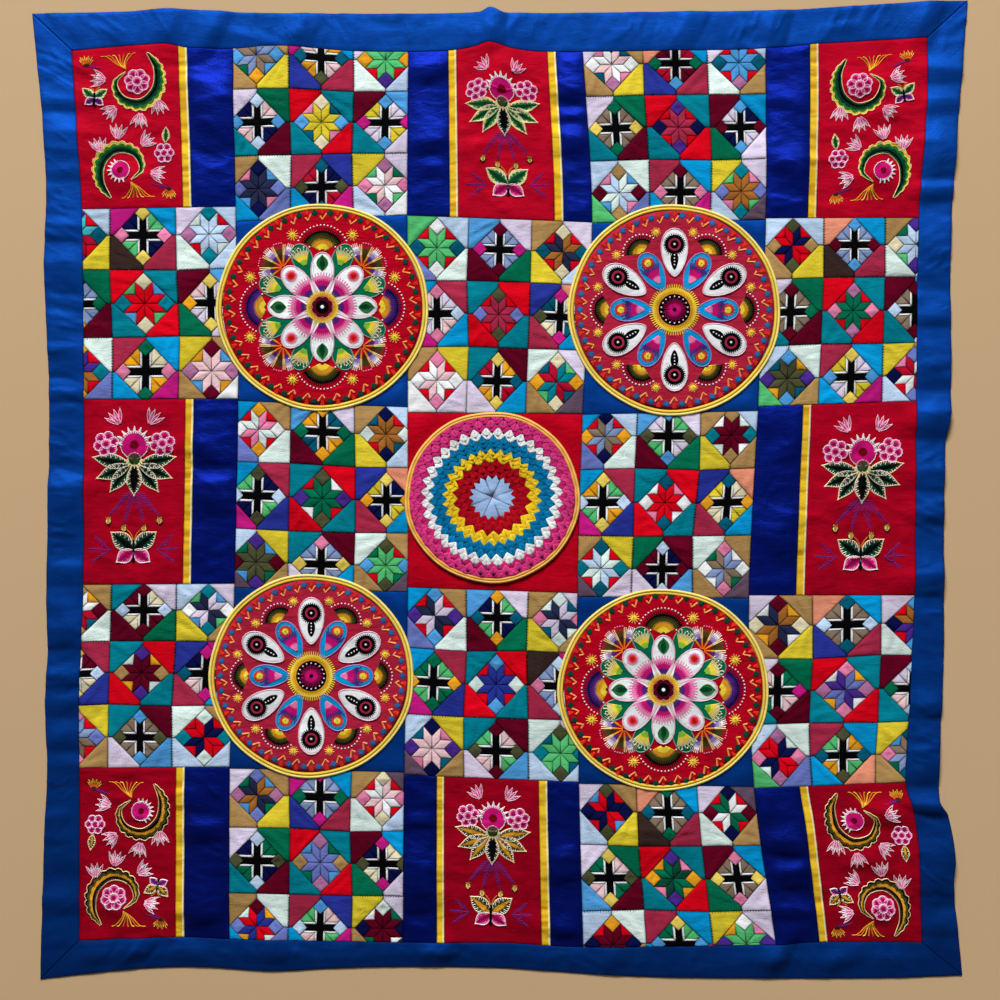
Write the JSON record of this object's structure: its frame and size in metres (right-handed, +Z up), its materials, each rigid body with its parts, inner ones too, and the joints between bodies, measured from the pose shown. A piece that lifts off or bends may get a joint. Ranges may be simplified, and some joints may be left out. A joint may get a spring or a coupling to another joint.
{
  "type": "patchwork quilt",
  "caption": "Large pieced cotton coverlet laid flat, with star blocks, embroidered panels, bound round medallions, a folded-star centre and a mitred blue border.",
  "frame": {"origin": "floor level under the middle of the coverlet", "axes": "+Z up from the floor, +Y to the head end (the top of the picture), +X to the right"},
  "size_m": [1.776, 1.858, 0.0136],
  "materials": {
    "royal_cotton": "plain cotton, royal blue, soft storage creases",
    "navy_sateen": "cotton sateen, navy, slight sheen",
    "red_cotton": "plain cotton, red, embroidered",
    "yellow_cotton": "plain cotton, yellow strip and binding",
    "patch_cotton": "plain cotton scraps of many colours, pieced by hand"
  },
  "bodies": {
    "root": {"border_top": "royal_cotton", "border_right": "royal_cotton", "border_bottom": "royal_cotton", "border_left": "royal_cotton", "red_panel_r1c1": "red_cotton", "yellow_strip_r1c1": "yellow_cotton", "navy_panel_r1c1": "navy_sateen", "navy_panel_r1c3_left": "navy_sateen", "yellow_strip_r1c3_left": "yellow_cotton", "red_panel_r1c3": "red_cotton", "yellow_strip_r1c3_right": "yellow_cotton", "navy_panel_r1c3_right": "navy_sateen", "navy_panel_r1c5": "navy_sateen", "yellow_strip_r1c5": "yellow_cotton", "red_panel_r1c5": "red_cotton", "red_panel_r3c1": "red_cotton", "yellow_strip_r3c1": "yellow_cotton", "navy_panel_r3c1": "navy_sateen", "navy_panel_r3c5": "navy_sateen", "yellow_strip_r3c5": "yellow_cotton", "red_panel_r3c5": "red_cotton", "red_panel_r5c1": "red_cotton", "yellow_strip_r5c1": "yellow_cotton", "navy_panel_r5c1": "navy_sateen", "navy_panel_r5c3_left": "navy_sateen", "yellow_strip_r5c3_left": "yellow_cotton", "red_panel_r5c3": "red_cotton", "yellow_strip_r5c3_right": "yellow_cotton", "navy_panel_r5c3_right": "navy_sateen", "navy_panel_r5c5": "navy_sateen", "yellow_strip_r5c5": "yellow_cotton", "red_panel_r5c5": "red_cotton", "star_block_r1c2": "patch_cotton", "star_block_r1c4": "patch_cotton", "star_block_r2c1": "patch_cotton", "star_block_r2c3": "patch_cotton", "star_block_r2c5": "patch_cotton", "star_block_r3c2": "patch_cotton", "star_block_r3c4": "patch_cotton", "star_block_r4c1": "patch_cotton", "star_block_r4c3": "patch_cotton", "star_block_r4c5": "patch_cotton", "star_block_r5c2": "patch_cotton", "star_block_r5c4": "patch_cotton", "ground_square_r2c2": "royal_cotton", "ground_square_r2c4": "royal_cotton", "ground_square_r4c2": "royal_cotton", "ground_square_r4c4": "royal_cotton", "centre_square": "red_cotton", "medallion_r2c2": "red_cotton", "medallion_ring_r2c2": "yellow_cotton", "medallion_r2c4": "red_cotton", "medallion_ring_r2c4": "yellow_cotton", "medallion_r4c2": "red_cotton", "medallion_ring_r4c2": "yellow_cotton", "medallion_r4c4": "red_cotton", "medallion_ring_r4c4": "yellow_cotton", "folded_star": "patch_cotton", "folded_star_ring": "yellow_cotton"}
  },
  "joints": []
}
